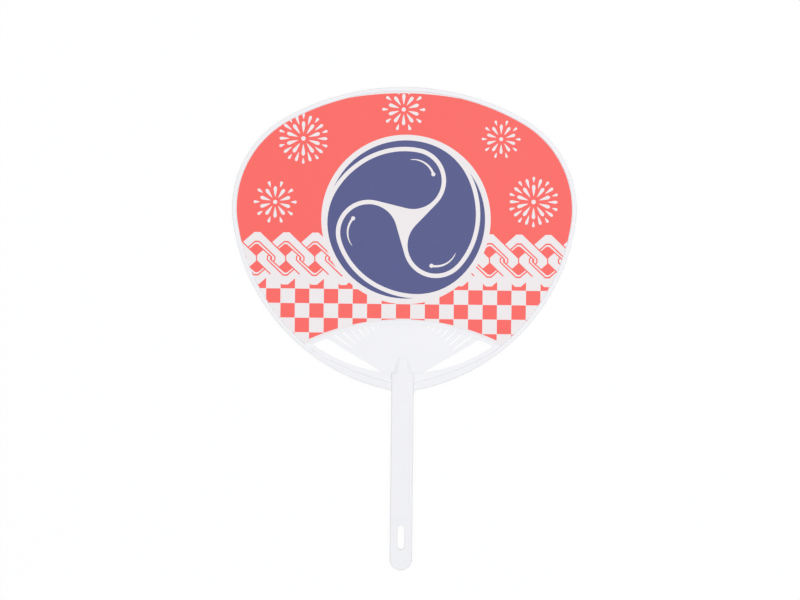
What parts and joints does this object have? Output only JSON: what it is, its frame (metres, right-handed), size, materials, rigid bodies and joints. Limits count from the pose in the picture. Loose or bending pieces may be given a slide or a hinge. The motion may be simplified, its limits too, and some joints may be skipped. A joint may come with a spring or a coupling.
{
  "type": "hand fan",
  "caption": "Flat round hand fan: a moulded plastic frame of handle, bows, radiating ribs and rim, with a printed paper glued on each face.",
  "frame": {"origin": "under the middle of the fan's outline, on the surface that it lies on", "axes": "+Y runs from the handle's end to the top of the head, +Z out of the front face, +X to the right seen from the front"},
  "size_m": [0.246, 0.345, 0.004],
  "materials": {
    "white_polypropylene": "satin",
    "printed_paper": "satin"
  },
  "bodies": {
    "root": {"handle": "white_polypropylene", "handle_end": "white_polypropylene", "neck_web": "white_polypropylene", "bow_left": "white_polypropylene", "bow_right": "white_polypropylene", "rim": "white_polypropylene", "arch_bar": "white_polypropylene", "rib_01": "white_polypropylene", "rib_02": "white_polypropylene", "rib_03": "white_polypropylene", "rib_04": "white_polypropylene", "rib_05": "white_polypropylene", "rib_06": "white_polypropylene", "rib_07": "white_polypropylene", "rib_08": "white_polypropylene", "rib_09": "white_polypropylene", "rib_10": "white_polypropylene", "rib_11": "white_polypropylene", "rib_12": "white_polypropylene", "rib_13": "white_polypropylene", "rib_14": "white_polypropylene", "rib_15": "white_polypropylene", "rib_16": "white_polypropylene", "rib_17": "white_polypropylene", "rib_18": "white_polypropylene", "rib_19": "white_polypropylene", "rib_20": "white_polypropylene", "rib_21": "white_polypropylene", "rib_22": "white_polypropylene", "rib_23": "white_polypropylene", "front_paper": "printed_paper", "back_paper": "printed_paper"}
  },
  "joints": []
}
